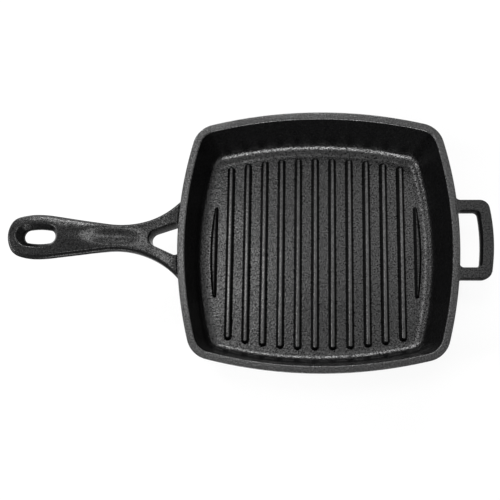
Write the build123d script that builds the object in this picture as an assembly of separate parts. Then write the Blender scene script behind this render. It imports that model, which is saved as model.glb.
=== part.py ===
from build123d import *
import math
import os

# Square cast-iron grill pan with a forked main handle and a helper loop, all poured as one casting.
# Its regions are cut where a person would name them, and they meet face to face.
# Millimetres. The origin is the centre of the flat base, +X points to the helper loop, +Z up.
# The main handle runs along -X. Angles are in degrees.

# Pan
pan_length = 282.0
pan_width = 269.0
pan_height = 50.0
side_bow_radius = 405.0
end_bow_radius = 457.0
corner_radius = 26.0
rim_width = 7.5
rim_edge_radius = 1.6
rim_band_height = 8.0
rim_bevel_height = 3.5
wall_thickness = 4.6
floor_thickness = 4.5
inner_draft = 8.0
band_draft = 3.0
outer_draft = 8.0
floor_fillet = 10.0
base_fillet = 7.0
floor_seam_margin = 1.5

# Grill ribs
rib_count = 11
rib_side_clearance = 24.4
rib_foot_width = 8.4
rib_crest_width = 3.6
rib_height = 5.0
rib_crest_radius = 1.0
rib_end_clearance = 3.4

# Short ridges beside the rib field
ridge_length = 103.0
ridge_side_clearance = 2.6
ridge_middle_width = 8.4
ridge_end_width = 4.4
ridge_end_radius = 2.0
ridge_height = 4.0
ridge_crest_radius = 0.6
ridge_draft = 20.0

# Main handle, plan
handle_length = 167.8
neck_place_share = 0.352
neck_width = 26.0
fork_flare_share = 0.477
paddle_width = 45.6
paddle_tip_distance = 27.5
paddle_shoulder_share = 0.7
paddle_side_radius = 58.0
paddle_end_radius = 36.0
paddle_corner_radius = 12.0

# Main handle, elevation
leg_drop = 1.5
leg_depth = 17.0
neck_rise = 6.5
neck_depth = 14.0
tip_rise = 11.0
tip_depth = 12.5
handle_top_radius = 2.5
handle_bottom_radius = 4.5

# Fork window, thumb channel and hang hole
window_length_share = 0.166
window_width_share = 0.21
window_apex_radius = 8.5
window_edge_radius = 1.6
yoke_length = 8.0
channel_place_share = 0.4
channel_length_share = 0.49
channel_width = 18.0
channel_depth = 2.4
hole_length = 30.0
hole_width = 14.0
hole_recess_length = 38.0
hole_recess_width = 24.0
hole_recess_depth = 7.0
hole_tip_distance = 31.5
hole_edge_radius = 1.2

# Helper loop
loop_reach = 33.6
loop_width = 82.0
loop_thickness = 9.0
loop_bar_width = 12.6
loop_arm_width = 12.7
loop_bow_radius = 195.0
loop_outer_corner_radius = 11.0
loop_inner_corner_radius = 4.0
loop_root_radius = 4.0
loop_edge_radius = 1.8

# Overrun of every cutting shape
overrun = 5.0


def face_up(face):
    """The same flat face with its normal up, so that it is extruded upwards."""
    return face if face.normal_at().Z > 0 else -face


def plan_face(edges):
    """Flat face inside a closed outline, facing up."""
    return face_up(Face(Wire(edges)))


def corner_between(centre_a, radius_a, centre_b, radius_b, corner):
    """Round corner inside two arcs: where it leaves the first, its middle, where it joins the second."""
    gap = centre_b - centre_a
    reach_a = radius_a - corner
    reach_b = radius_b - corner
    along = (reach_a**2 - reach_b**2 + gap.length**2) / (2 * gap.length)
    across = math.sqrt(reach_a**2 - along**2)
    unit = gap.normalized()
    centre = centre_a + unit * along + Vector(unit.Y, -unit.X) * across
    leave = centre + (centre - centre_a).normalized() * corner
    join = centre + (centre - centre_b).normalized() * corner
    middle = centre + ((leave - centre) + (join - centre)).normalized() * corner
    return leave, middle, join


def pan_section(inset, corner, height):
    """Plan outline of the pan, drawn in by one inset: four bowed sides and four round corners."""
    half_x = pan_length / 2 - inset
    half_y = pan_width / 2 - inset
    side_radius = side_bow_radius - inset
    end_radius = end_bow_radius - inset
    end_centre = Vector(0, half_y - end_radius)
    side_centre = Vector(half_x - side_radius, 0)
    leave, middle, join = corner_between(end_centre, end_radius, side_centre, side_radius, corner)
    arcs = []
    for sign_x, sign_y in ((1, 1), (1, -1), (-1, -1), (-1, 1)):
        corner_points = [(sign_x * p.X, sign_y * p.Y, height) for p in (leave, middle, join)]
        arcs.append(ThreePointArc(*corner_points))
    for sign in (1, -1):
        ends = [(side * leave.X, sign * leave.Y, height) for side in (-1, 1)]
        arcs.append(ThreePointArc(ends[0], (0, sign * half_y, height), ends[1]))
        sides = [(sign * join.X, side * join.Y, height) for side in (-1, 1)]
        arcs.append(ThreePointArc(sides[0], (sign * half_x, 0, height), sides[1]))
    return plan_face(arcs)


def cut_apart(solid, plane):
    """The two sides of a solid, first the side that the plane's normal points to."""
    return split(solid, plane, Keep.TOP), split(solid, plane, Keep.BOTTOM)


def draft_inset(draft, height):
    """How far a drafted wall leans in over a height."""
    return height * math.tan(math.radians(draft))


def floor_edge_inset():
    """Inset from the rim's outline to where the flat floor ends at the foot of its fillet."""
    lean = draft_inset(inner_draft, pan_height - floor_thickness)
    foot = floor_fillet * math.tan(math.radians((90 - inner_draft) / 2))
    return rim_width + lean + foot


def inner_corner():
    return corner_radius - rim_width


def root_reach():
    """How far both handles run in under the rim before they are cut to the wall."""
    return 2 * rim_width


def pan_envelope():
    """The pan filled solid: drafted wall, bevelled underside of the rim band, drafted band."""
    band_foot = pan_height - rim_band_height
    wall_head = band_foot - rim_bevel_height
    band_inset = draft_inset(band_draft, rim_band_height)
    wall_inset = rim_width + draft_inset(inner_draft, pan_height - wall_head) - wall_thickness
    base_inset = wall_inset + draft_inset(outer_draft, wall_head)
    rim = pan_section(0, corner_radius, pan_height)
    band = pan_section(band_inset, corner_radius, band_foot)
    wall = pan_section(wall_inset, corner_radius, wall_head)
    base = pan_section(base_inset, corner_radius, 0)
    blank = loft([base, wall, band, rim], ruled=True)
    return fillet(blank.faces().sort_by(Axis.Z)[0].edges(), base_fillet)


def pan_cavity():
    """The space inside the pan, with its rounded foot."""
    lean = draft_inset(inner_draft, pan_height - floor_thickness)
    rim = pan_section(rim_width, inner_corner(), pan_height)
    floor = pan_section(rim_width + lean, inner_corner(), floor_thickness)
    blank = loft([floor, rim], ruled=True)
    return fillet(blank.faces().sort_by(Axis.Z)[0].edges(), floor_fillet)


def pan_floor():
    """Flat plate that ends just inside the foot of the fillet."""
    inset = floor_edge_inset() + floor_seam_margin
    seam_corner = inner_corner() - floor_seam_margin
    return extrude(pan_section(inset, seam_corner, 0), floor_thickness)


def pan_walls():
    """Rim, drafted wall, inner fillet and rounded base edge, cut into four sides at the corners."""
    body = pan_envelope() - pan_cavity()
    rim_edges = body.faces().sort_by(Axis.Z)[-1].edges()
    ring = fillet(rim_edges, rim_edge_radius) - pan_floor()
    across = math.degrees(math.atan2(pan_width, pan_length))
    rising = Plane(origin=(0, 0, 0), z_dir=Vector(0, 1, 0).rotate(Axis.Z, across))
    falling = Plane(origin=(0, 0, 0), z_dir=Vector(0, 1, 0).rotate(Axis.Z, -across))
    above, below = cut_apart(ring, rising)
    rear, handle_side = cut_apart(above, falling)
    loop_side, front = cut_apart(below, falling)
    return {
        "pan_wall_front": front,
        "pan_wall_rear": rear,
        "pan_wall_handle_side": handle_side,
        "pan_wall_loop_side": loop_side,
    }


def rib_half_length(x):
    """The rib ends follow the bowed edge of the floor."""
    inset = floor_edge_inset() + rib_end_clearance
    radius = end_bow_radius - inset
    centre = pan_width / 2 - end_bow_radius
    return centre + math.sqrt(radius**2 - x**2)


def rib_pitch():
    """The ribs share out the floor between the two side ridges."""
    field = pan_length - 2 * floor_edge_inset() - 2 * rib_side_clearance
    return field / (rib_count - 1)


def grill_rib(x):
    """Drafted bar with round ends and a rounded crest."""
    draft = math.degrees(math.atan((rib_foot_width - rib_crest_width) / 2 / rib_height))
    foot = SlotOverall(2 * rib_half_length(x), rib_foot_width, rotation=90)
    bar = extrude(Pos(x, 0, floor_thickness) * foot, rib_height, taper=draft)
    return fillet(bar.faces().sort_by(Axis.Z)[-1].edges(), rib_crest_radius)


def side_ridge(sign):
    """Lens-shaped ridge: straight towards the ribs, bowed towards the wall."""
    outer = pan_length / 2 - floor_edge_inset() - ridge_side_clearance
    inner = outer - ridge_middle_width
    shoulder = inner + ridge_end_width
    half = ridge_length / 2
    plan = plan_face([
        Line((inner, half), (inner, -half)),
        Line((inner, -half), (shoulder, -half)),
        ThreePointArc((shoulder, -half), (outer, 0), (shoulder, half)),
        Line((shoulder, half), (inner, half)),
    ])
    plan = face_up(fillet(plan.vertices(), ridge_end_radius).face())
    blank = extrude(Pos(0, 0, floor_thickness) * plan, ridge_height, taper=ridge_draft)
    ridge = fillet(blank.faces().sort_by(Axis.Z)[-1].edges(), ridge_crest_radius)
    return ridge if sign > 0 else ridge.mirror(Plane.YZ)


def neck_distance():
    """From the rim to the narrowest place of the neck."""
    return neck_place_share * handle_length


def handle_flank(sign):
    """One side of the handle in plan, from inside the rim to the middle of the tip."""
    rim_x = -pan_length / 2
    tip_x = rim_x - handle_length
    neck_x = rim_x - neck_distance()
    flare_radius = fork_flare_share * handle_length
    shoulder_radius = paddle_shoulder_share * handle_length
    paddle_x = tip_x + paddle_tip_distance
    root_x = rim_x + root_reach()
    flare = Vector(neck_x, neck_width / 2 + flare_radius)
    shoulder = Vector(paddle_x, paddle_width / 2 - shoulder_radius)
    run = neck_x - paddle_x
    drop = flare.Y - shoulder.Y
    lean = math.acos((flare_radius + shoulder_radius) / math.hypot(run, drop))
    angle = math.atan2(run, drop) - lean
    side = Vector(paddle_x, paddle_width / 2 - paddle_side_radius)
    end = Vector(tip_x + paddle_end_radius, 0)

    def on(centre, radius, turn):
        return centre + Vector(math.sin(turn), math.cos(turn)) * radius

    root_turn = math.asin((root_x - neck_x) / flare_radius)
    root = on(flare, -flare_radius, -root_turn)
    taper_start = on(flare, -flare_radius, angle)
    taper_end = on(shoulder, shoulder_radius, angle)
    leave, middle, join = corner_between(
        end, paddle_end_radius, side, paddle_side_radius, paddle_corner_radius)
    half_side = on(side, paddle_side_radius, math.atan2(join.X - side.X, join.Y - side.Y) / 2)
    half_shoulder = on(shoulder, shoulder_radius, angle / 2)
    neck = on(flare, -flare_radius, 0)
    half_end = on(end, -paddle_end_radius, math.atan2(end.X - leave.X, leave.Y) / 2)

    def put(p):
        return (p.X, sign * p.Y)

    return [
        ThreePointArc(put(root), put(neck), put(taper_start)),
        Line(put(taper_start), put(taper_end)),
        ThreePointArc(put(taper_end), put(half_shoulder), (paddle_x, sign * paddle_width / 2)),
        ThreePointArc((paddle_x, sign * paddle_width / 2), put(half_side), put(join)),
        ThreePointArc(put(join), put(middle), put(leave)),
    ]


def handle_plan():
    """Plan of the whole handle: round tip, wide paddle, narrow neck and a flare into the pan."""
    tip_x = -pan_length / 2 - handle_length
    upper = handle_flank(1)
    lower = handle_flank(-1)
    root = Line(upper[0] @ 0, lower[0] @ 0)
    end = ThreePointArc(upper[-1] @ 1, (tip_x, 0), lower[-1] @ 1)
    return plan_face(upper + lower + [root, end])


def handle_line(wall_height, neck_height, tip_height):
    """Side view of the handle's top or underside: one arc from the pan's wall to the tip."""
    rim_x = -pan_length / 2
    neck_x = rim_x - neck_distance()
    tip_x = rim_x - handle_length
    return ThreePointArc((rim_x, 0, wall_height), (neck_x, 0, neck_height), (tip_x, 0, tip_height))


def handle_top_line():
    return handle_line(pan_height - leg_drop, pan_height + neck_rise, pan_height + tip_rise)


def handle_bottom_line():
    return handle_line(
        pan_height - leg_drop - leg_depth,
        pan_height + neck_rise - neck_depth,
        pan_height + tip_rise - tip_depth)


def handle_elevation():
    """Side view of the handle, run on past the wall and past the tip."""
    top = handle_top_line()
    bottom = handle_bottom_line()
    root_top = (top @ 0) - (top % 0) * 2 * root_reach()
    root_bottom = (bottom @ 0) - (bottom % 0) * 2 * root_reach()
    end_top = (top @ 1) + (top % 1) * overrun
    end_bottom = (bottom @ 1) + (bottom % 1) * overrun
    corners = [top @ 1, end_top, end_bottom, bottom @ 1]
    roots = [bottom @ 0, root_bottom, root_top, top @ 0]
    lines = [Line(a, b) for a, b in zip(corners, corners[1:])]
    lines += [Line(a, b) for a, b in zip(roots, roots[1:])]
    return Face(Wire([top, bottom] + lines))


def window_apex():
    """Where the fork's window ends towards the neck."""
    return -pan_length / 2 - window_length_share * handle_length


def fork_window():
    """Upright prism of the three-cornered window between the fork's legs."""
    rim_x = -pan_length / 2
    apex_x = window_apex()
    centre = Vector(apex_x + window_apex_radius, 0)
    run = rim_x - centre.X
    half = window_width_share * handle_length / 2
    lean = math.atan2(half, run) - math.asin(window_apex_radius / math.hypot(run, half))
    touch = centre + Vector(-math.sin(lean), math.cos(lean)) * window_apex_radius
    inner_x = rim_x + root_reach() + overrun
    inner_y = half + (root_reach() + overrun) * math.tan(lean)
    plan = plan_face([
        ThreePointArc((touch.X, -touch.Y), (apex_x, 0), (touch.X, touch.Y)),
        Line((touch.X, touch.Y), (inner_x, inner_y)),
        Line((inner_x, inner_y), (inner_x, -inner_y)),
        Line((inner_x, -inner_y), (touch.X, -touch.Y)),
    ])
    return extrude(plan, 2 * pan_height)


def top_seat(share):
    """Plane that lies on the handle's top, at a share of the way from the wall to the tip."""
    top = handle_top_line()
    along = -(top % share)
    return Plane(origin=top @ share, x_dir=along, z_dir=Vector(-along.Z, 0, along.X))


def thumb_channel():
    """Spindle that scoops the shallow channel along the neck."""
    radius = (channel_width**2 / 4 + channel_depth**2) / (2 * channel_depth)
    half = channel_length_share * handle_length / 2
    end = radius - channel_depth
    profile = plan_face([
        ThreePointArc((-half, end), (0, radius), (half, end)),
        Line((half, end), (half, 0)),
        Line((half, 0), (-half, 0)),
        Line((-half, 0), (-half, end)),
    ])
    return top_seat(channel_place_share) * Pos(0, 0, end) * revolve(profile, Axis.X)


def hang_hole():
    """Slot through the paddle under a funnel-shaped recess."""
    slot = SlotOverall(hole_length, hole_width).face()
    mouth = SlotOverall(hole_recess_length, hole_recess_width).face()
    funnel = loft([Pos(0, 0, -hole_recess_depth) * slot, mouth])
    throat = extrude(Pos(0, 0, -2 * tip_depth) * slot, 2 * tip_depth)
    clearing = extrude(mouth, overrun)
    return top_seat(1 - hole_tip_distance / handle_length) * (funnel + clearing + throat)


def outline_edges(solid, up):
    """Edges round the faces that look up, or down, without the straight seams between faces."""
    faces = [f for f in solid.faces() if f.normal_at().Z * up > math.cos(math.radians(45))]
    edges = ShapeList([e for f in faces for e in f.edges()])
    return [e for e in edges if e.geom_type != GeomType.LINE]


def cut_edges(before, tool, after):
    """Edges that a cut has left, without the upright ones."""
    edges = new_edges(before, tool, combined=after)
    return [e for e in edges if abs((e % 0.5).Z) < math.cos(math.radians(45))]


def main_handle():
    """Plan and side view crossed, edges rounded, then window, channel and hang hole cut."""
    half_span = pan_width / 2
    bar = extrude(handle_plan(), 2 * pan_height) & extrude(handle_elevation(), half_span, both=True)
    bar = fillet(outline_edges(bar, 1), handle_top_radius)
    bar = fillet(outline_edges(bar, -1), handle_bottom_radius)
    bar = bar - thumb_channel()
    window = fork_window()
    forked = bar - window
    forked = fillet(cut_edges(bar, window, forked), window_edge_radius)
    hole = hang_hole()
    pierced = forked - hole
    pierced = fillet(cut_edges(forked, hole, pierced), hole_edge_radius)
    return pierced - pan_envelope()


def loop_section(reach, half, corner):
    """Plan of the helper loop's outer or inner outline: square at the pan, bowed at the far side."""
    root_x = pan_length / 2 - root_reach()
    far_x = pan_length / 2 + reach
    corner_x = far_x - loop_sag(half)
    face = plan_face([
        Line((root_x, -half), (corner_x, -half)),
        ThreePointArc((corner_x, -half), (far_x, 0), (corner_x, half)),
        Line((corner_x, half), (root_x, half)),
        Line((root_x, half), (root_x, -half)),
    ])
    return face_up(fillet(face.vertices().group_by(Axis.X)[-1], corner).face())


def loop_root(sign):
    """Plan of the concave fillet between an arm and the rim."""
    half = loop_width / 2
    root_x = pan_length / 2 - root_reach()
    bow = Vector(pan_length / 2 - side_bow_radius, 0)
    centre_y = half + loop_root_radius
    centre_x = bow.X + math.sqrt((side_bow_radius + loop_root_radius)**2 - centre_y**2)
    centre = Vector(centre_x, centre_y)
    rim = centre + (bow - centre).normalized() * loop_root_radius
    arm = Vector(centre_x, half)
    middle = centre + ((rim - centre) + (arm - centre)).normalized() * loop_root_radius
    arc = ThreePointArc(*[(p.X, sign * p.Y) for p in (rim, middle, arm)])
    corners = [(arm.X, sign * half), (root_x, sign * half), (root_x, sign * rim.Y), (rim.X, sign * rim.Y)]
    return plan_face([arc] + [Line(a, b) for a, b in zip(corners, corners[1:])])


def loop_sag(half):
    """How much the bowed bar falls back from its middle to the given half width."""
    return loop_bow_radius - math.sqrt(loop_bow_radius**2 - half**2)


def helper_loop():
    """Flat loop flush with the rim, its edges rounded."""
    outer = loop_section(loop_reach, loop_width / 2, loop_outer_corner_radius)
    inner_half = loop_width / 2 - loop_arm_width
    inner = loop_section(loop_reach - loop_bar_width, inner_half, loop_inner_corner_radius)
    plan = outer + loop_root(1) + loop_root(-1) - inner
    blank = extrude(Pos(0, 0, pan_height - loop_thickness) * plan, loop_thickness)
    root_x = blank.bounding_box().min.X
    edges = [e for e in blank.edges() if abs((e % 0.5).Z) < math.cos(math.radians(45))]
    edges = [e for e in edges if e.center().X > root_x + loop_edge_radius]
    return fillet(edges, loop_edge_radius) - pan_envelope()


def casting():
    """Every region of the casting under its own name."""
    handle = main_handle()
    yoke_x = window_apex() - yoke_length
    fork, grip = cut_apart(handle, Plane(origin=(yoke_x, 0, 0), z_dir=(1, 0, 0)))
    leg_rear, leg_front = cut_apart(fork, Plane(origin=(0, 0, 0), z_dir=(0, 1, 0)))
    inner_half = loop_width / 2 - loop_arm_width
    arm_x = pan_length / 2 + loop_reach - loop_bar_width - loop_sag(inner_half)
    arm_plane = Plane(origin=(arm_x - loop_inner_corner_radius, 0, 0), z_dir=(1, 0, 0))
    bar, arms = cut_apart(helper_loop(), arm_plane)
    arm_front, arm_rear = arms.solids().sort_by(Axis.Y)
    regions = {
        **pan_walls(),
        "pan_floor": pan_floor(),
        "side_ridge_handle_side": side_ridge(-1),
        "side_ridge_loop_side": side_ridge(1),
        "handle_grip": grip,
        "handle_fork_leg_front": leg_front,
        "handle_fork_leg_rear": leg_rear,
        "helper_loop_bar": bar,
        "helper_loop_arm_front": arm_front,
        "helper_loop_arm_rear": arm_rear,
    }
    for index in range(rib_count):
        x = (index - (rib_count - 1) / 2) * rib_pitch()
        regions[f"grill_rib_{index + 1:02d}"] = grill_rib(x)
    return regions


os.makedirs("parts", exist_ok=True)
for name, shape in casting().items():
    export_step(shape, f"parts/{name}.step")
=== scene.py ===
import math

import bmesh
import bpy
import numpy as np
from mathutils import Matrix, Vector, geometry


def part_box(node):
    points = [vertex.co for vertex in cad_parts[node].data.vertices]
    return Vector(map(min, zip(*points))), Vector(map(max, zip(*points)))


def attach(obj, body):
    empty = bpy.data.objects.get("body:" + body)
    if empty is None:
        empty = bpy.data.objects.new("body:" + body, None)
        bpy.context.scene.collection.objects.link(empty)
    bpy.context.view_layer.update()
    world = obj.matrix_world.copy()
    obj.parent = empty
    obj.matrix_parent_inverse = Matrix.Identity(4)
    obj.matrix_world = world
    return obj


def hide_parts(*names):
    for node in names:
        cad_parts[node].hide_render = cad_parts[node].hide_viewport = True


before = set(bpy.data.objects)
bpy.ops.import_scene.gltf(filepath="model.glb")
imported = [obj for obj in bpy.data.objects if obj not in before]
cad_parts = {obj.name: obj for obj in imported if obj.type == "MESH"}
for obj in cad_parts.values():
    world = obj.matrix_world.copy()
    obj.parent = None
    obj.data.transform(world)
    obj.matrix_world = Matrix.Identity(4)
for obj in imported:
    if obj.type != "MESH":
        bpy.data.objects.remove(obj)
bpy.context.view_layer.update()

mm = 0.001

# Camera
# The picture is taken from above the front wall, a little towards the handle, with its middle
# shifted off the lens axis.
camera_place = Vector((-25.0, -146.2, 476.9)) * mm
camera_turn = (0.1132, 0.0263, 0.0098)
camera_lens = 31.8
camera_shift = (-0.0595, 0.1713)
camera_near = 10.0 * mm
camera_data = bpy.data.cameras.new("camera")
camera_data.lens = camera_lens
camera_data.shift_x, camera_data.shift_y = camera_shift
camera_data.clip_start = camera_near
camera = bpy.data.objects.new("camera", camera_data)
camera.location = camera_place
camera.rotation_euler = camera_turn
bpy.context.scene.collection.objects.link(camera)
bpy.context.scene.camera = camera
bpy.context.scene.view_settings.view_transform = "Standard"

# Studio
# A white sweep under the pan and five soft boxes: low ones behind, in front and on the left catch
# the rounded edges, and two high ones show in the level iron. The floor keeps a faint shadow, and
# lies a hair below the base so that the two faces don't coincide.
floor_reach = 4.0
floor_level = -0.3 * mm
floor_shade = (0.9, 0.9, 0.9, 1.0)
white = (1.0, 1.0, 1.0, 1.0)
shadow_share = 0.14
ambient = 0.2


def white_when_seen(tree):
    """Factor that is 1 for rays from the camera, reflections and refractions."""
    path = tree.nodes.new("ShaderNodeLightPath")
    factor = path.outputs["Is Camera Ray"]
    for ray in ("Is Glossy Ray", "Is Transmission Ray"):
        either = tree.nodes.new("ShaderNodeMath")
        either.operation = "MAXIMUM"
        tree.links.new(factor, either.inputs[0])
        tree.links.new(path.outputs[ray], either.inputs[1])
        factor = either.outputs[0]
    return factor


def blend(tree, factor, unseen, seen, output_type):
    """Sends a tree's output one shader at factor 0 and the other at factor 1."""
    mix = tree.nodes.new("ShaderNodeMixShader")
    tree.links.new(factor, mix.inputs[0])
    tree.links.new(unseen.outputs[0], mix.inputs[1])
    tree.links.new(seen.outputs[0], mix.inputs[2])
    output = tree.nodes.new(output_type)
    tree.links.new(mix.outputs[0], output.inputs["Surface"])


floor_paint = bpy.data.materials.new("studio_floor")
floor_paint.use_nodes = True
tree = floor_paint.node_tree
tree.nodes.clear()
diffuse = tree.nodes.new("ShaderNodeBsdfDiffuse")
diffuse.inputs["Color"].default_value = floor_shade
glow = tree.nodes.new("ShaderNodeEmission")
glow.inputs["Color"].default_value = white
share = tree.nodes.new("ShaderNodeMath")
share.operation = "MULTIPLY"
share.inputs[1].default_value = 1.0 - shadow_share
tree.links.new(white_when_seen(tree), share.inputs[0])
blend(tree, share.outputs[0], diffuse, glow, "ShaderNodeOutputMaterial")
floor_mesh = bpy.data.meshes.new("studio_floor")
floor_corners = [(x * floor_reach, y * floor_reach, floor_level)
                 for x, y in ((-1, -1), (1, -1), (1, 1), (-1, 1))]
floor_mesh.from_pydata(floor_corners, [], [(0, 1, 2, 3)])
floor_mesh.materials.append(floor_paint)
studio_floor = bpy.data.objects.new("studio_floor", floor_mesh)
bpy.context.scene.collection.objects.link(studio_floor)

world = bpy.data.worlds.new("studio")
bpy.context.scene.world = world
world.use_nodes = True
tree = world.node_tree
tree.nodes.clear()
seen_sky = tree.nodes.new("ShaderNodeBackground")
seen_sky.inputs["Color"].default_value = white
room = tree.nodes.new("ShaderNodeBackground")
room.inputs["Color"].default_value = white
room.inputs["Strength"].default_value = ambient
blend(tree, white_when_seen(tree), room, seen_sky, "ShaderNodeOutputWorld")


def soft_box(name, place, width, depth, power):
    """Rectangular studio lamp that looks at the middle of the pan's base."""
    data = bpy.data.lights.new(name, "AREA")
    data.shape = "RECTANGLE"
    data.size = width
    data.size_y = depth
    data.energy = power
    lamp = bpy.data.objects.new(name, data)
    lamp.location = place
    lamp.rotation_euler = (-Vector(place)).to_track_quat("-Z", "Y").to_euler()
    bpy.context.scene.collection.objects.link(lamp)


soft_box("back_box", (-0.3, 1.32, 0.92), width=1.6, depth=0.26, power=25.0)
soft_box("high_box", (-0.4, 0.45, 1.65), width=0.36, depth=0.6, power=5.0)
soft_box("right_box", (0.5, 0.6, 1.65), width=0.9, depth=0.6, power=2.5)
soft_box("left_box", (-1.35, -0.1, 0.85), width=0.7, depth=0.35, power=11.0)
soft_box("front_box", (-0.1, -1.42, 0.75), width=1.3, depth=0.34, power=25.0)

# Pan
# Floor, four bowed walls and the rim are one shell of cast iron. The sand mould leaves a fine
# pebbled skin, and baked oil makes it black and half glossy. The wall is drafted on both sides,
# and the rim's top is ground flat.
rim_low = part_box("pan_wall_handle_side")[0]
rim_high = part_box("pan_wall_rear")[1]
rim_x = -rim_low.x
rim_y = rim_high.y
rim_z = rim_high.z
floor_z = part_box("pan_floor")[1].z
side_bow = 405.0 * mm
end_bow = 457.0 * mm
outer_corner = 26.0 * mm
least_corner = 2.5 * mm
rim_width = 7.5 * mm
band_height = 8.0 * mm
bevel_height = 3.5 * mm
wall_thickness = 4.6 * mm
inner_draft = math.tan(math.radians(8.0))
band_draft = math.tan(math.radians(3.0))
outer_draft = math.tan(math.radians(8.0))
floor_fillet = 12.0 * mm
rim_inner_round = 1.6 * mm
rim_outer_round = 1.0 * mm
band_round = 0.9 * mm
wall_head_round = 2.5 * mm
base_round = 7.0 * mm
cap_inset = 70.0 * mm
ground_depth = 0.9 * mm
bow_steps = 26
corner_steps = 18
wall_round_steps = 10
iron_ior = 1.5
oil_dark = (0.0025, 0.0025, 0.0026, 1.0)
oil_light = (0.0055, 0.0055, 0.0057, 1.0)
oil_range = (0.35, 0.65)
noise_range = (0.34, 0.66)
gloss_swing = 0.05
wave_share = 0.5
wave_strength = 0.6


def arc_points(centre, radius, start, end, steps):
    """Points on an arc, without its last one."""
    turns = [start + (end - start) * i / steps for i in range(steps)]
    return [centre + Vector((math.cos(t), math.sin(t))) * radius for t in turns]


def pan_outline(inset, corner):
    """Bowed square of the pan, drawn in by the inset, anticlockwise from the middle of +X."""
    side_radius = side_bow - inset
    end_radius = end_bow - inset
    side_centre = Vector((rim_x - side_bow, 0.0))
    end_centre = Vector((0.0, rim_y - end_bow))
    gap = end_centre - side_centre
    reach_side = side_radius - corner
    reach_end = end_radius - corner
    along = (reach_side**2 - reach_end**2 + gap.length_squared) / (2 * gap.length)
    across = math.sqrt(reach_side**2 - along**2)
    unit = gap.normalized()
    middle = side_centre + unit * along + Vector((-unit.y, unit.x)) * across
    join = math.atan2(middle.y - side_centre.y, middle.x - side_centre.x)
    leave = math.atan2(middle.y - end_centre.y, middle.x - end_centre.x)
    quarter = arc_points(side_centre, side_radius, 0.0, join, bow_steps)
    quarter += arc_points(middle, corner, join, leave, corner_steps)
    quarter += arc_points(end_centre, end_radius, leave, math.pi / 2, bow_steps)
    top = Vector((0.0, rim_y - inset))
    second = [Vector((-p.x, p.y)) for p in reversed(quarter[1:])]
    upper = quarter + [top] + second
    start = [Vector((-quarter[0].x, 0.0))]
    lower = [Vector((-p.x, -p.y)) for p in upper[1:]]
    return upper + start + lower


def rounded_line(corners, steps):
    """Open polyline with its inner corners rounded, each corner being (x, y, radius)."""
    points = [Vector(corners[0][:2])]
    for before, here, after in zip(corners, corners[1:], corners[2:]):
        knee = Vector(here[:2])
        back = (Vector(before[:2]) - knee).normalized()
        ahead = (Vector(after[:2]) - knee).normalized()
        half = back.angle(ahead) / 2
        reach = here[2] / math.tan(half)
        centre = knee + (back + ahead).normalized() * (here[2] / math.sin(half))
        first = knee + back * reach - centre
        last = knee + ahead * reach - centre
        for i in range(steps + 1):
            points.append(centre + first.slerp(last, i / steps) * here[2])
    points.append(Vector(corners[-1][:2]))
    return points


def skin(rings):
    """Vertices and faces of a closed body through level rings of equal length."""
    count = len(rings[0])
    vertices = [v for ring in rings for v in ring]
    faces = []
    for first in range(0, len(vertices) - count, count):
        for i in range(count):
            j = (i + 1) % count
            faces.append((first + i, first + j, first + count + j, first + count + i))
    faces.append(tuple(range(count)))
    faces.append(tuple(range(len(vertices) - count, len(vertices))))
    return vertices, faces


def object_from(name, vertices, faces, material):
    """Smooth mesh object at the origin, with its normals outward. Its attribute "level" is 1
    where the surface lies level and 0 where it stands upright."""
    mesh = bpy.data.meshes.new(name)
    mesh.from_pydata([tuple(v) for v in vertices], [], faces)
    shell = bmesh.new()
    shell.from_mesh(mesh)
    bmesh.ops.recalc_face_normals(shell, faces=shell.faces)
    shell.to_mesh(mesh)
    shell.free()
    mesh.polygons.foreach_set("use_smooth", [True] * len(mesh.polygons))
    level = mesh.attributes.new("level", "FLOAT", "POINT")
    level.data.foreach_set("value", [abs(normal.vector.z) for normal in mesh.vertex_normals])
    mesh.materials.append(material)
    made = bpy.data.objects.new(name, mesh)
    bpy.context.scene.collection.objects.link(made)
    return made


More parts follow.
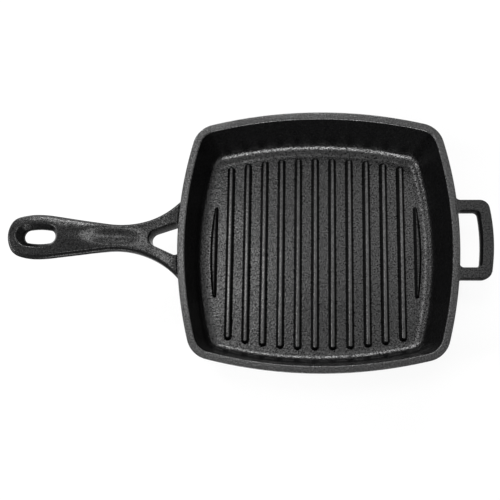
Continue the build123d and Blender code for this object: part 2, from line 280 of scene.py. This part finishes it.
def seasoned_iron(name, gloss, gleam, pebble, steep):
    """Black baked oil on sand-cast iron: pebbled skin, soft unevenness, patchy gloss. Gleam is
    the range of reflection. Steep gives the levels between which it rises, and its share on
    steep faces: painted shade that weakens the reflection there, standing in for a dark room
    around the pan."""
    paint = bpy.data.materials.new(name)
    paint.use_nodes = True
    tree = paint.node_tree
    shader = tree.nodes["Principled BSDF"]
    shader.inputs["IOR"].default_value = iron_ior
    place = tree.nodes.new("ShaderNodeTexCoord")

    def noise(scale, detail, rough):
        node = tree.nodes.new("ShaderNodeTexNoise")
        node.inputs["Scale"].default_value = scale
        node.inputs["Detail"].default_value = detail
        node.inputs["Roughness"].default_value = rough
        tree.links.new(place.outputs["Object"], node.inputs["Vector"])
        return node.outputs["Fac"]

    def spread(source, low, high):
        node = tree.nodes.new("ShaderNodeMapRange")
        node.inputs["From Min"].default_value = noise_range[0]
        node.inputs["From Max"].default_value = noise_range[1]
        node.inputs["To Min"].default_value = low
        node.inputs["To Max"].default_value = high
        tree.links.new(source, node.inputs["Value"])
        return node.outputs["Result"]

    def bump(height, distance, strength):
        node = tree.nodes.new("ShaderNodeBump")
        node.inputs["Distance"].default_value = distance
        node.inputs["Strength"].default_value = strength
        tree.links.new(height, node.inputs["Height"])
        return node

    patches = noise(scale=28.0, detail=3.0, rough=0.55)
    waves = noise(scale=160.0, detail=2.0, rough=0.5)
    grain = noise(scale=480.0, detail=2.0, rough=0.6)
    speckle = noise(scale=700.0, detail=2.0, rough=0.6)
    ramp = tree.nodes.new("ShaderNodeValToRGB")
    for stop, place_on_ramp, colour in zip(ramp.color_ramp.elements, oil_range,
                                           (oil_dark, oil_light)):
        stop.position = place_on_ramp
        stop.color = colour
    tree.links.new(grain, ramp.inputs["Fac"])
    tree.links.new(ramp.outputs["Color"], shader.inputs["Base Color"])
    # Painted shade: the reflection fades on steep faces, read from the level attribute, standing
    # in for a dark room around the pan.
    level = tree.nodes.new("ShaderNodeAttribute")
    level.attribute_name = "level"
    steep_shade = tree.nodes.new("ShaderNodeMapRange")
    steep_shade.interpolation_type = "SMOOTHSTEP"
    for label, value in zip(("From Min", "From Max", "To Min"), steep):
        steep_shade.inputs[label].default_value = value
    tree.links.new(level.outputs["Fac"], steep_shade.inputs["Value"])
    gleaming = tree.nodes.new("ShaderNodeMath")
    gleaming.operation = "MULTIPLY"
    tree.links.new(spread(speckle, *gleam), gleaming.inputs[0])
    tree.links.new(steep_shade.outputs["Result"], gleaming.inputs[1])
    tree.links.new(gleaming.outputs[0], shader.inputs["Specular IOR Level"])
    tree.links.new(spread(patches, gloss - gloss_swing, gloss + gloss_swing),
                   shader.inputs["Roughness"])
    fine = bump(grain, pebble, 1.0)
    wavy = bump(waves, pebble * wave_share, wave_strength)
    tree.links.new(wavy.outputs["Normal"], fine.inputs["Normal"])
    tree.links.new(fine.outputs["Normal"], shader.inputs["Normal"])
    return paint


# Painted shade: both fade their reflection on steep faces, which darkens the pan's walls and
# sides.
iron = seasoned_iron("seasoned_iron", gloss=0.2, gleam=(0.02, 0.76), pebble=0.34 * mm,
                     steep=(0.1, 0.62, 0.12))
ground_iron = seasoned_iron("ground_rim", gloss=0.28, gleam=(0.2, 0.86), pebble=0.3 * mm,
                            steep=(0.1, 0.62, 0.12))

inner_foot = rim_width + (rim_z - floor_z) * inner_draft
band_foot = rim_z - band_height
wall_head = band_foot - bevel_height
wall_inset = rim_width + (rim_z - wall_head) * inner_draft - wall_thickness
base_inset = wall_inset + wall_head * outer_draft
wall_line = rounded_line([
    (cap_inset, floor_z, 0.0),
    (inner_foot, floor_z, floor_fillet),
    (rim_width, rim_z, rim_inner_round),
    (0.0, rim_z, rim_outer_round),
    (band_height * band_draft, band_foot, band_round),
    (wall_inset, wall_head, wall_head_round),
    (base_inset, 0.0, base_round),
    (cap_inset, 0.0, 0.0),
], wall_round_steps)
wall_rings = []
over_rim = False
for inset, height in wall_line:
    over_rim = over_rim or inset < rim_width / 2
    if over_rim:
        face = min(inset, wall_inset + (wall_head - height) * outer_draft)
        corner = outer_corner - max(0.0, inset - face if height < wall_head else 0.0)
    else:
        face = rim_width + (rim_z - height) * inner_draft
        corner = outer_corner - rim_width - max(0.0, inset - face)
    outline = pan_outline(inset, max(corner, least_corner))
    wall_rings.append([(p.x, p.y, height) for p in outline])
pan_shell = object_from("pan_shell", *skin(wall_rings), iron)
pan_shell.data.materials.append(ground_iron)
for face in pan_shell.data.polygons:
    face.material_index = int(face.center.z > rim_z - ground_depth)
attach(pan_shell, "root")
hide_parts("pan_wall_front", "pan_wall_rear", "pan_wall_handle_side",
            "pan_wall_loop_side", "pan_floor")

# Grill ribs
# Eleven bars cast on the floor, with drafted flanks, round ends that follow the bowed walls, and
# crests that use has worn smooth; painted shade darkens their steep flanks. One bar is laid out
# along a line, and each copy is stretched to its own length.
rib_names = sorted(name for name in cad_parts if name.startswith("grill_rib_"))
rib_low, rib_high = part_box(rib_names[0])
last_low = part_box(rib_names[-1])[0]
rib_pitch = (last_low.x - rib_low.x) / (len(rib_names) - 1)
rib_height = rib_high.z - floor_z
rib_half_width = (rib_high.x - rib_low.x) / 2
rib_half_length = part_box(rib_names[len(rib_names) // 2])[1].y
rib_end_inset = rim_y - rib_half_length
rib_foot_spread = 0.45 * mm
rib_sink = 0.2 * mm
rib_flank = 3.0 * mm
rib_crest_radius = 1.8 * mm
rib_seam = 0.05 * mm
rib_end_steps = 20
rib_round_steps = 12
# Painted shade: the reflection fades on the steep flanks, leaving only the crests bright.
crest_iron = seasoned_iron("worn_ribs_shaded_flanks", gloss=0.22, gleam=(0.3, 0.9), pebble=0.14 * mm,
                           steep=(0.6, 0.92, 0.1))


def stadium(half_length, half_width, height):
    """Level outline of a bar along Y with round ends."""
    points = []
    for side, start in ((1, 0.0), (-1, math.pi)):
        for i in range(rib_end_steps + 1):
            turn = start + math.pi * i / rib_end_steps
            y = side * (half_length - half_width) + half_width * math.sin(turn)
            points.append((half_width * math.cos(turn), y, height))
    return points


rib_line = rounded_line([
    (-rib_foot_spread, -rib_sink, 0.0),
    (rib_flank - rib_foot_spread, rib_height, rib_crest_radius),
    (rib_half_width - rib_seam, rib_height, 0.0),
], rib_round_steps)
rib_rings = [stadium(rib_half_length - p.x, rib_half_width - p.x, p.y) for p in rib_line]
grill_ribs = object_from("grill_ribs", *skin(rib_rings), crest_iron)

rib_tree = bpy.data.node_groups.new("rib_row", "GeometryNodeTree")
rib_inputs = {}
for label, kind in (("Rib", "Geometry"), ("Count", "Int"), ("Pitch", "Float"),
                    ("Floor Height", "Float"), ("End Bow", "Float"), ("Iron", "Material")):
    socket = rib_tree.interface.new_socket(label, in_out="INPUT", socket_type="NodeSocket" + kind)
    rib_inputs[label] = socket.identifier
rib_tree.interface.new_socket("Ribs", in_out="OUTPUT", socket_type="NodeSocketGeometry")
given = rib_tree.nodes.new("NodeGroupInput")


def rib_math(operation, *values):
    """Math node fed by sockets or plain numbers."""
    node = rib_tree.nodes.new("ShaderNodeMath")
    node.operation = operation
    for slot, value in zip(node.inputs, values):
        if isinstance(value, (int, float)):
            slot.default_value = value
        else:
            rib_tree.links.new(value, slot)
    return node.outputs[0]


first_x = rib_math("MULTIPLY", rib_math("SUBTRACT", given.outputs["Count"], 1.0), -0.5)
first_x = rib_math("MULTIPLY", first_x, given.outputs["Pitch"])
start = rib_tree.nodes.new("ShaderNodeCombineXYZ")
rib_tree.links.new(first_x, start.inputs["X"])
rib_tree.links.new(given.outputs["Floor Height"], start.inputs["Z"])
step = rib_tree.nodes.new("ShaderNodeCombineXYZ")
rib_tree.links.new(given.outputs["Pitch"], step.inputs["X"])
row = rib_tree.nodes.new("GeometryNodeMeshLine")
row.mode = "OFFSET"
rib_tree.links.new(given.outputs["Count"], row.inputs["Count"])
rib_tree.links.new(start.outputs[0], row.inputs["Start Location"])
rib_tree.links.new(step.outputs[0], row.inputs["Offset"])
copies = rib_tree.nodes.new("GeometryNodeInstanceOnPoints")
rib_tree.links.new(row.outputs["Mesh"], copies.inputs["Points"])
rib_tree.links.new(given.outputs["Rib"], copies.inputs["Instance"])
solid = rib_tree.nodes.new("GeometryNodeRealizeInstances")
rib_tree.links.new(copies.outputs["Instances"], solid.inputs["Geometry"])
place = rib_tree.nodes.new("GeometryNodeInputPosition")
split = rib_tree.nodes.new("ShaderNodeSeparateXYZ")
rib_tree.links.new(place.outputs["Position"], split.inputs[0])
from_first = rib_math("SUBTRACT", split.outputs["X"], first_x)
index = rib_math("DIVIDE", from_first, given.outputs["Pitch"])
own_x = rib_math("MULTIPLY_ADD", rib_math("ROUND", index), given.outputs["Pitch"], first_x)
bow = given.outputs["End Bow"]
chord = rib_math("SUBTRACT", rib_math("MULTIPLY", bow, bow), rib_math("MULTIPLY", own_x, own_x))
fall = rib_math("SUBTRACT", rib_math("SQRT", chord), bow)
stretch = rib_tree.nodes.new("ShaderNodeCombineXYZ")
rib_tree.links.new(rib_math("MULTIPLY", fall, rib_math("SIGN", split.outputs["Y"])),
                   stretch.inputs["Y"])
moved = rib_tree.nodes.new("GeometryNodeSetPosition")
rib_tree.links.new(solid.outputs["Geometry"], moved.inputs["Geometry"])
rib_tree.links.new(stretch.outputs[0], moved.inputs["Offset"])
dressed = rib_tree.nodes.new("GeometryNodeSetMaterial")
rib_tree.links.new(moved.outputs["Geometry"], dressed.inputs["Geometry"])
rib_tree.links.new(given.outputs["Iron"], dressed.inputs["Material"])
result = rib_tree.nodes.new("NodeGroupOutput")
rib_tree.links.new(dressed.outputs["Geometry"], result.inputs["Ribs"])

rib_row = grill_ribs.modifiers.new("rib_row", "NODES")
rib_row.node_group = rib_tree
for label, value in (("Count", len(rib_names)), ("Pitch", rib_pitch), ("Floor Height", floor_z),
                     ("End Bow", end_bow - rib_end_inset), ("Iron", crest_iron)):
    rib_row[rib_inputs[label]] = value
depsgraph = bpy.context.evaluated_depsgraph_get()
rib_mesh = bpy.data.meshes.new_from_object(grill_ribs.evaluated_get(depsgraph))
grill_ribs.modifiers.clear()
grill_ribs.data = rib_mesh
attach(grill_ribs, "root")
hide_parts(*rib_names)

# Side ridges
# Two low lens-shaped ridges close the rib field, straight towards the ribs and bowed towards the
# walls. They are cast on the floor like the ribs, and worn as smooth as the handle, with painted
# shade on their steep sides.
ridge_low, ridge_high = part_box("side_ridge_loop_side")
ridge_half = ridge_high.y
ridge_height = ridge_high.z - floor_z
ridge_end_width = 4.4 * mm
ridge_end_radius = 2.0 * mm
ridge_end_turn = 0.2
ridge_bow_share = 0.98
ridge_sink = 0.5 * mm
ridge_gap = 2.0 * mm
outline_gap = 1.3 * mm
ring_share = 0.96
edge_clearance = 0.1 * mm
merge_limit = 1e-4
# Painted shade: the reflection fades on the steep sides and edges of the ridges, handle and loop,
# which darkens them.
smooth_iron = seasoned_iron("worn_handle_shaded_sides", gloss=0.2, gleam=(0.06, 0.42), pebble=0.15 * mm,
                            steep=(0.68, 0.88, 0.2))


def even_arc(centre, radius, start, end, gap=outline_gap):
    """Arc points about a gap apart, without the last."""
    steps = max(4, math.ceil(abs(end - start) * radius / gap))
    return arc_points(Vector(centre), radius, start, end, steps)


def even_line(start, end, gap=outline_gap):
    """Points about a gap apart on a straight stretch, without the last."""
    steps = max(1, math.ceil((Vector(end) - Vector(start)).length / gap))
    return [Vector(start).lerp(Vector(end), i / steps) for i in range(steps)]


def line_distance(points, line):
    """Distance from each point to the nearest place on an open line."""
    best = np.full(len(points), np.inf)
    for start, end in zip(line, line[1:]):
        along = np.subtract(end, start)
        share = np.clip((points - start) @ along / (along @ along), 0.0, 1.0)
        gap = points - start - share[:, None] * along
        best = np.minimum(best, np.hypot(gap[:, 0], gap[:, 1]))
    return best


def within(points, loops):
    """Which points lie inside the closed loops, holes left out."""
    odd = np.zeros(len(points), bool)
    for loop in loops:
        for start, end in zip(loop, loop[1:] + loop[:1]):
            if start[1] == end[1]:
                continue
            share = (points[:, 1] - start[1]) / (end[1] - start[1])
            between = (start[1] > points[:, 1]) != (end[1] > points[:, 1])
            odd ^= between & (points[:, 0] < start[0] + share * (end[0] - start[0]))
    return odd


def relief(name, loops, brims, top, under, gap):
    """Closed body between two height fields. A brim is an open line along an edge, with the
    (distance, drop) profiles that round the top and the underside beside it."""
    loops = [[tuple(p) for p in loop] for loop in loops]
    brims = [([tuple(p) for p in line], above, below) for line, above, below in brims]
    # Seeds run along every step of the brims' profiles, and fill the rest as a staggered grid.
    seeds = []
    for line, above, below in brims:
        along = np.gradient(np.array(line), axis=0)
        along /= np.hypot(along[:, 0], along[:, 1])[:, None]
        inward = np.column_stack((-along[:, 1], along[:, 0]))
        for offset in sorted({p[0] for p in above + below if p[0] > 0}):
            ring = line + inward * offset
            clear = np.full(len(ring), np.inf)
            for other, _, _ in brims:
                clear = np.minimum(clear, line_distance(ring, other))
            seeds.append(ring[clear > ring_share * offset])
    everything = np.array([p for loop in loops for p in loop])
    low, high = everything.min(axis=0), everything.max(axis=0)
    grid_x, grid_y = np.meshgrid(np.arange(low[0], high[0], gap), np.arange(low[1], high[1], gap))
    grid_x[1::2] += gap / 2
    grid = np.column_stack((grid_x.ravel(), grid_y.ravel()))
    clear = np.full(len(grid), np.inf)
    for line, above, below in brims:
        reach = max(p[0] for p in above + below)
        clear = np.minimum(clear, line_distance(grid, line) - reach)
    seeds.append(grid[clear > gap / 2])
    seeds = np.vstack(seeds)
    for loop in loops:
        seeds = seeds[line_distance(seeds, loop + loop[:1]) > edge_clearance]
    seeds = seeds[within(seeds, loops)]
    # The plan is triangulated in millimetres, and the triangles outside the loops are dropped.
    points = [Vector(p) / mm for loop in loops for p in loop]
    edges = []
    for loop in loops:
        first = len(edges)
        edges += [(first + i, first + (i + 1) % len(loop)) for i in range(len(loop))]
    points += [Vector(p) / mm for p in seeds]
    points, _, triangles, *_ = geometry.delaunay_2d_cdt(points, edges, [], 0, merge_limit)
    plan = np.array([tuple(p) for p in points]) * mm
    middles = np.array([plan[list(t)].mean(axis=0) for t in triangles])
    triangles = [t for t, kept in zip(triangles, within(middles, loops)) if kept]
    drop = np.zeros(len(plan))
    rise = np.zeros(len(plan))
    for line, above, below in brims:
        away = line_distance(plan, line)
        drop = np.maximum(drop, np.interp(away, *zip(*above)))
        rise = np.maximum(rise, np.interp(away, *zip(*below)))
    upper = top(plan[:, 0], plan[:, 1]) - drop
    lower = under(plan[:, 0], plan[:, 1]) + rise
    size = len(plan)
    vertices = [(x, y, z) for heights in (upper, lower) for (x, y), z in zip(plan, heights)]
    faces = [tuple(t) for t in triangles]
    faces += [tuple(size + i for i in reversed(t)) for t in triangles]
    sides = {}
    for t in triangles:
        for a, b in zip(t, t[1:] + t[:1]):
            if (b, a) in sides:
                del sides[(b, a)]
            else:
                sides[(a, b)] = True
    faces += [(b, a, size + a, size + b) for a, b in sides]
    made = object_from(name, vertices, faces, smooth_iron)
    trimmed = bmesh.new()
    trimmed.from_mesh(made.data)
    loose = [v for v in trimmed.verts if not v.link_faces]
    bmesh.ops.delete(trimmed, geom=loose, context="VERTS")
    trimmed.to_mesh(made.data)
    trimmed.free()
    return made


def profile(rows, steps=6):
    """(distance, drop) profile beside an edge, from (distance, drop, radius) rows in mm."""
    return [tuple(p) for p in rounded_line([[v * mm for v in row] for row in rows], steps)]


def flat(height):
    """Level height field."""
    return lambda x, y: np.full(len(x), height)


ridge_sag = ridge_high.x - ridge_low.x - ridge_end_width
ridge_bow = (ridge_half**2 + ridge_sag**2) / (2 * ridge_sag)
ridge_swing = math.asin(ridge_half / ridge_bow) * ridge_bow_share
ridge_end_y = ridge_half - ridge_end_radius
ridge_end_x = ridge_low.x + ridge_end_width / 2
ridge_brim = profile([(0.0, ridge_height / mm, 0.0), (2.7, 0.0, 1.6), (5.0, 0.0, 0.0)])
sharp = [(0.0, 0.0), (mm, 0.0)]
ridge_outline = even_arc((ridge_high.x - ridge_bow, 0.0), ridge_bow, -ridge_swing, ridge_swing)
ridge_outline += even_arc((ridge_end_x, ridge_end_y), ridge_end_width / 2,
                          ridge_end_turn, math.pi)
ridge_outline += even_line((ridge_low.x, ridge_end_y), (ridge_low.x, -ridge_end_y))
ridge_outline += even_arc((ridge_end_x, -ridge_end_y), ridge_end_width / 2,
                          math.pi, 2 * math.pi - ridge_end_turn)
mirrored = [Vector((-p.x, p.y)) for p in reversed(ridge_outline)]
for name, outline in (("side_ridge_loop_side", ridge_outline),
                      ("side_ridge_handle_side", mirrored)):
    ridge = relief(name + "_cast", [outline], [(outline + outline[:1], ridge_brim, sharp)],
                   flat(ridge_high.z), flat(floor_z - ridge_sink), ridge_gap)
    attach(ridge, "root")
    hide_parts(name)

# Main handle
# A forked handle cast in one with the wall: two legs, a neck with a trough for the thumb and a
# wide, slightly crowned paddle with a hang hole. Its edges are rolled and keep the thin ridge
# of the mould's parting line.
grip_low, grip_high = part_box("handle_grip")
tip_x = grip_low.x
handle_length = -rim_x - tip_x
handle_root = -rim_x + 7.4 * mm
neck_x = -rim_x - 0.352 * handle_length
neck_width = 26.6 * mm
flare_radius = 0.477 * handle_length
shoulder_radius = 0.7 * handle_length
paddle_width = grip_high.y - grip_low.y
paddle_x = tip_x + 27.5 * mm
paddle_side_radius = 58.0 * mm
paddle_end_radius = 36.0 * mm
paddle_corner = 12.0 * mm
leg_top, neck_top, tip_top = 48.5 * mm, 56.5 * mm, 61.0 * mm
leg_foot, neck_foot, tip_foot = 31.5 * mm, 42.5 * mm, 48.5 * mm
window_apex = -rim_x - 0.166 * handle_length
window_half = 0.105 * handle_length
window_radius = 8.5 * mm
window_corner = 3.2 * mm
window_corner_bow = 0.3 * mm
window_gap = 0.8 * mm
channel_depth = 2.0 * mm
channel_half = 9.6 * mm
channel_end = tip_x + 70.0 * mm
channel_full = tip_x + 98.0 * mm
channel_fade = window_apex - 26.0 * mm
channel_out = window_apex - 3.0 * mm
crown_fall = 3.6 * mm
neck_crown = 1.2 * mm
tip_share = 16.0 * mm
groove_depth = 1.1 * mm
groove_floor = 0.4 * mm
groove_edge = 1.8 * mm
hole_x = tip_x + 30.4 * mm
hole_half = 9.2 * mm
hole_radius = 6.9 * mm
hole_side_bow = 60.0 * mm
hole_gap = 1.0 * mm
handle_gap = 1.2 * mm


def direction(centre, point):
    """Angle at which a point is seen from a centre."""
    return math.atan2(point.y - centre.y, point.x - centre.x)


# Outer edge: a concave flare from the wall, a straight stretch, the shoulder and the paddle.
flare = Vector((neck_x, neck_width / 2 + flare_radius))
shoulder = Vector((paddle_x, paddle_width / 2 - shoulder_radius))
side = Vector((paddle_x, paddle_width / 2 - paddle_side_radius))
end = Vector((tip_x + paddle_end_radius, 0.0))
run = neck_x - paddle_x
rise = flare.y - shoulder.y
lean = math.atan2(run, rise) - math.acos((flare_radius + shoulder_radius) / math.hypot(run, rise))
root_turn = math.asin((handle_root - neck_x) / flare_radius)
gap = side - end
reach_end = paddle_end_radius - paddle_corner
reach_side = paddle_side_radius - paddle_corner
along = (reach_end**2 - reach_side**2 + gap.length_squared) / (2 * gap.length)
across = math.sqrt(reach_end**2 - along**2)
unit = gap.normalized()
knuckle = end + unit * along + Vector((unit.y, -unit.x)) * across
quarter_turn = math.pi / 2
lean_out = Vector((math.sin(lean), math.cos(lean)))
flank = even_arc(flare, flare_radius, root_turn - quarter_turn, -lean - quarter_turn)
flank += even_line(flare - lean_out * flare_radius, shoulder + lean_out * shoulder_radius)
flank += even_arc(shoulder, shoulder_radius, quarter_turn - lean, quarter_turn)
flank += even_arc(side, paddle_side_radius, quarter_turn, direction(side, knuckle))
flank += even_arc(knuckle, paddle_corner, direction(side, knuckle), direction(end, knuckle))
flank += even_arc(end, paddle_end_radius, direction(end, knuckle), math.pi)
outer_edge = flank + [Vector((tip_x, 0.0))] + [Vector((p.x, -p.y)) for p in reversed(flank)]

# Window between the legs: three-cornered, with a round apex and small fillets at the wall.
fork_centre = Vector((window_apex + window_radius, 0.0))
reach = Vector((-rim_x, window_half)) - fork_centre
window_lean = math.atan2(reach.y, reach.x) - math.asin(window_radius / reach.length)
touch = fork_centre + Vector((-math.sin(window_lean), math.cos(window_lean))) * window_radius
corner_x = -rim_x + window_corner_bow - window_corner
corner_y = window_half + (corner_x + rim_x) * math.tan(window_lean)
corner_y -= window_corner / math.cos(window_lean)
leave = quarter_turn + window_lean
leg_corner = Vector((math.cos(leave), math.sin(leave))) * window_corner
leg_corner += Vector((corner_x, corner_y))
window_edge = even_line((handle_root, -corner_y), (corner_x + window_corner, -corner_y))
window_edge += even_arc((corner_x, -corner_y), window_corner, 0.0, -leave, window_gap)
window_edge += even_line((leg_corner.x, -leg_corner.y), (touch.x, -touch.y))
window_edge += even_arc(fork_centre, window_radius, -leave, window_lean - 3 * quarter_turn)
window_edge += even_line((touch.x, touch.y), leg_corner)
window_edge += even_arc((corner_x, corner_y), window_corner, leave, 0.0, window_gap)
window_edge += even_line((corner_x + window_corner, corner_y), (handle_root, corner_y))
window_edge.append(Vector((handle_root, corner_y)))

# Hang hole: two round ends joined by slightly bowed sides, drawn clockwise.
hole_turn = math.asin(hole_half / (hole_side_bow - hole_radius))
bow_y = (hole_side_bow - hole_radius) * math.cos(hole_turn)
hole = even_arc((hole_x + hole_half, 0.0), hole_radius, quarter_turn - hole_turn,
                hole_turn - quarter_turn, hole_gap)
hole += even_arc((hole_x, bow_y), hole_side_bow, hole_turn - quarter_turn,
                 -hole_turn - quarter_turn, hole_gap)
hole += even_arc((hole_x - hole_half, 0.0), hole_radius, -hole_turn - quarter_turn,
                 hole_turn - 3 * quarter_turn, hole_gap)
hole += even_arc((hole_x, -bow_y), hole_side_bow, hole_turn + quarter_turn,
                 quarter_turn - hole_turn, hole_gap)


def arc_through(a, b, c):
    """Height, by x, of the shallow curve through three (x, z) places."""
    straight = (b[1] - a[1]) / (b[0] - a[0])
    bend = ((c[1] - a[1]) / (c[0] - a[0]) - straight) / (c[0] - b[0])
    return lambda x: a[1] + straight * (x - a[0]) + bend * (x - a[0]) * (x - b[0])


def ease(x, low, high):
    """Smooth step from 0 at the low x to 1 at the high x."""
    share = np.clip((x - low) / (high - low), 0.0, 1.0)
    return share * share * (3.0 - 2.0 * share)


top_line = arc_through((-rim_x, leg_top), (neck_x, neck_top), (tip_x, tip_top))
foot_line = arc_through((-rim_x, leg_foot), (neck_x, neck_foot), (tip_x, tip_foot))
flank_x = np.array([p.x for p in reversed(flank)])
flank_y = np.array([p.y for p in reversed(flank)])


def handle_top(x, y):
    """Rising top with a crowned paddle, a trough in the neck and a groove along the rim."""
    half = np.interp(np.maximum(x, tip_x + tip_share), flank_x, flank_y)
    across = np.clip(np.abs(y) / half, 0.0, 1.0)
    scoop = ease(x, channel_end, channel_full)
    scoop *= 1.0 - ease(x, channel_fade, channel_out)
    trough = np.clip(1.0 - (y / channel_half)**2, 0.0, 1.0)**2
    crown = neck_crown + (crown_fall - neck_crown) * (1.0 - ease(x, channel_end, neck_x))
    crown *= across**2 * (1.0 - ease(x, window_apex, -rim_x))
    to_rim = side_bow - rim_x - np.sqrt(side_bow**2 - y**2) - x
    groove = groove_depth * (1.0 - ease(to_rim, groove_floor, groove_edge))
    return top_line(x) - crown - groove - channel_depth * scoop * trough


outer_top = profile([(0.0, 5.6, 0.0), (0.25, 2.8, 0.2), (1.2, 2.3, 0.2), (2.9, 0.0, 1.5),
                     (7.0, 0.0, 0.0)])
outer_under = profile([(0.0, 5.5, 0.0), (1.0, 1.4, 1.5), (4.5, 0.0, 4.0), (9.0, 0.0, 0.0)])
window_top = profile([(0.0, 3.0, 0.0), (0.6, 0.0, 1.2), (4.0, 0.0, 0.0)])
window_under = profile([(0.0, 2.0, 0.0), (0.6, 0.0, 1.2), (4.0, 0.0, 0.0)])
hole_top = profile([(0.0, 6.0, 0.0), (0.6, 5.0, 0.6), (4.8, 0.0, 2.6), (9.0, 0.0, 0.0)])
hole_under = profile([(0.0, 3.4, 0.0), (0.5, 2.6, 0.5), (3.0, 0.0, 0.8), (6.0, 0.0, 0.0)])
main_handle = relief(
    "main_handle", [outer_edge + window_edge, hole],
    [(outer_edge, outer_top, outer_under), (window_edge, window_top, window_under),
     (hole + hole[:1], hole_top, hole_under)],
    handle_top, lambda x, y: foot_line(x), handle_gap)
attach(main_handle, "root")
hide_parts("handle_grip", "handle_fork_leg_front", "handle_fork_leg_rear")

# Helper loop
# A flat loop for the second hand, cast flush with the rim's top. Small fillets run from its arms
# into the rim, and its edges are rounded.
bar_low, bar_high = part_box("helper_loop_bar")
loop_half = bar_high.y
loop_far = bar_high.x
loop_low = bar_low.z
loop_proud = 0.04 * mm
loop_top = bar_high.z + loop_proud
arm_width = 12.7 * mm
bar_width = 12.6 * mm
loop_bow = 195.0 * mm
loop_outer_corner = 11.0 * mm
loop_inner_corner = 4.0 * mm
loop_corner_gap = 0.8 * mm
loop_root = rim_x - 5.2 * mm
root_dip = 0.1 * mm
root_rise = 2.0 * mm
rim_fillet = 4.0 * mm
rim_fillet_gap = 0.6 * mm
arm_start = 0.4 * mm
loop_gap = 1.8 * mm


def rim_root(half, outward):
    """Concave fillet between the rim and an arm's edge: its points from the rim outwards."""
    centre_y = half + outward * rim_fillet
    centre_x = rim_x - side_bow + math.sqrt((side_bow + rim_fillet)**2 - centre_y**2)
    centre = Vector((centre_x, centre_y))
    start = direction(centre, Vector((rim_x - side_bow, 0.0)))
    if outward < 0:
        start += 2 * math.pi
    return even_arc(centre, rim_fillet, start, -outward * math.pi / 2, rim_fillet_gap)


def loop_side(half, far, corner, outward):
    """Upper half of the loop's outer or inner edge, from the rim to the middle of the bar."""
    bow_centre = Vector((far - loop_bow, 0.0))
    knee_y = half - corner
    knee_x = bow_centre.x + math.sqrt((loop_bow - corner)**2 - knee_y**2)
    knee = Vector((knee_x, knee_y))
    points = rim_root(half, outward)
    points += even_line((points[-1].x + arm_start, half), (knee_x, half))
    points += even_arc(knee, corner, math.pi / 2, direction(bow_centre, knee), loop_corner_gap)
    points += even_arc(bow_centre, loop_bow, direction(bow_centre, knee), 0.0)
    return points


outer_side = loop_side(loop_half, loop_far, loop_outer_corner, 1)
inner_side = loop_side(loop_half - arm_width, loop_far - bar_width, loop_inner_corner, -1)
outer_edge = [Vector((p.x, -p.y)) for p in outer_side] + [Vector((loop_far, 0.0))]
outer_edge += list(reversed(outer_side))
inner_edge = inner_side + [Vector((loop_far - bar_width, 0.0))]
inner_edge += [Vector((p.x, -p.y)) for p in reversed(inner_side)]
upper_root = [Vector((loop_root, outer_side[0].y)), Vector((loop_root, inner_side[0].y))]
lower_root = [Vector((p.x, -p.y)) for p in reversed(upper_root)]
edge_top = profile([(0.0, 2.8, 0.0), (1.2, 0.0, 0.9), (4.0, 0.0, 0.0)])
edge_under = profile([(0.0, 2.5, 0.0), (0.6, 0.0, 1.8), (4.0, 0.0, 0.0)])
helper_loop = relief(
    "helper_loop", [outer_edge + upper_root + inner_edge + lower_root],
    [(outer_edge, edge_top, edge_under), (inner_edge, edge_top, edge_under)],
    lambda x, y: loop_top - root_dip * (1.0 - ease(x, loop_root, loop_root + root_rise)),
    flat(loop_low), loop_gap)
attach(helper_loop, "root")
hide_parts("helper_loop_bar", "helper_loop_arm_front", "helper_loop_arm_rear")
